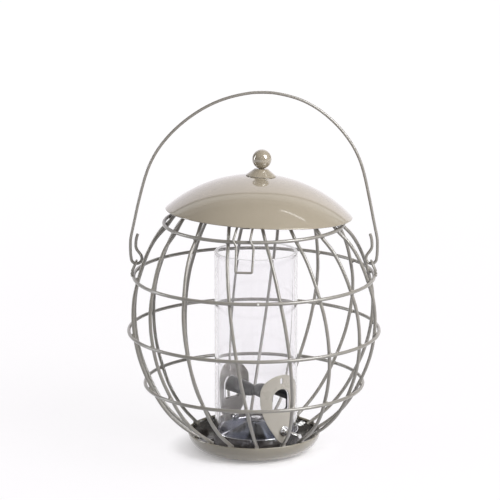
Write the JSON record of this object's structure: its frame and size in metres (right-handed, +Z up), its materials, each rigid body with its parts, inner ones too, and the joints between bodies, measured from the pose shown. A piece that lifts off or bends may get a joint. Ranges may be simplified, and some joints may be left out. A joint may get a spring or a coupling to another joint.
{
  "type": "bird feeder",
  "caption": "Hanging bird feeder with a round wire cage that keeps squirrels out, a clear seed tube with two ports and perches, a seed tray, a domed lid with a ball knob and a wire bail",
  "frame": {"origin": "on the floor, under the middle of the tray and on the cage's axis", "axes": "+Z up, -Y to the front, +X to the front's right hand side as seen"},
  "size_m": [0.2212, 0.2212, 0.3181],
  "materials": {
    "taupe_enamel": "glossy taupe enamel",
    "bright_steel": "polished",
    "clear_tube": "clear, stands for clear plastic",
    "dark_hood": "semi gloss",
    "dark_rubber": "matt"
  },
  "bodies": {
    "cage": {"rib_01": "taupe_enamel", "rib_02": "taupe_enamel", "rib_03": "taupe_enamel", "rib_04": "taupe_enamel", "rib_05": "taupe_enamel", "rib_06": "taupe_enamel", "rib_07": "taupe_enamel", "rib_08": "taupe_enamel", "rib_09": "taupe_enamel", "rib_10": "taupe_enamel", "rib_11": "taupe_enamel", "rib_12": "taupe_enamel", "rib_13": "taupe_enamel", "rib_14": "taupe_enamel", "rib_15": "taupe_enamel", "rib_16": "taupe_enamel", "lower_ring": "taupe_enamel", "equator_ring": "taupe_enamel", "shoulder_ring": "taupe_enamel", "upper_ring": "taupe_enamel", "top_ring": "taupe_enamel", "eyelet_left": "taupe_enamel", "eyelet_right": "taupe_enamel", "tray": "taupe_enamel", "port_plate_near": "taupe_enamel", "port_plate_far": "taupe_enamel", "tube_cup": "bright_steel", "seed_cone": "bright_steel", "base_bolt": "bright_steel", "base_nut": "bright_steel", "perch_near": "bright_steel", "perch_far": "bright_steel", "perch_nut_near": "bright_steel", "perch_nut_far": "bright_steel", "seed_tube": "clear_tube", "port_hood_near": "dark_hood", "port_hood_far": "dark_hood", "base_spacer": "dark_rubber", "perch_spacer_near": "dark_rubber", "perch_spacer_far": "dark_rubber"},
    "lid": {"lid_dome": "taupe_enamel", "lid_boss": "taupe_enamel", "lid_knob": "taupe_enamel", "knob_screw": "bright_steel", "clip_lug_front": "taupe_enamel", "clip_lug_back": "taupe_enamel"},
    "clip_front": {"clip_front": "taupe_enamel"},
    "clip_back": {"clip_back": "taupe_enamel"},
    "bail": {"bail": "taupe_enamel"}
  },
  "joints": [
    {"name": "bail_hinge", "type": "hinge", "parent": "cage", "child": "bail", "pos_m": [0, 0, 0.1665], "axis": [1, 0, 0], "range_deg": [-100, 100]},
    {"name": "lid_lift", "type": "slide", "parent": "cage", "child": "lid", "axis": [0, 0, 1], "range_m": [0, 0.04]},
    {"name": "clip_front_hinge", "type": "hinge", "parent": "lid", "child": "clip_front", "pos_m": [-0.00661, -0.06868, 0.21576], "axis": [-0.9954, 0.0958, 0], "range_deg": [0, 18]},
    {"name": "clip_back_hinge", "type": "hinge", "parent": "lid", "child": "clip_back", "pos_m": [0.00661, 0.06868, 0.21576], "axis": [0.9954, -0.0958, 0], "range_deg": [0, 7]}
  ]
}
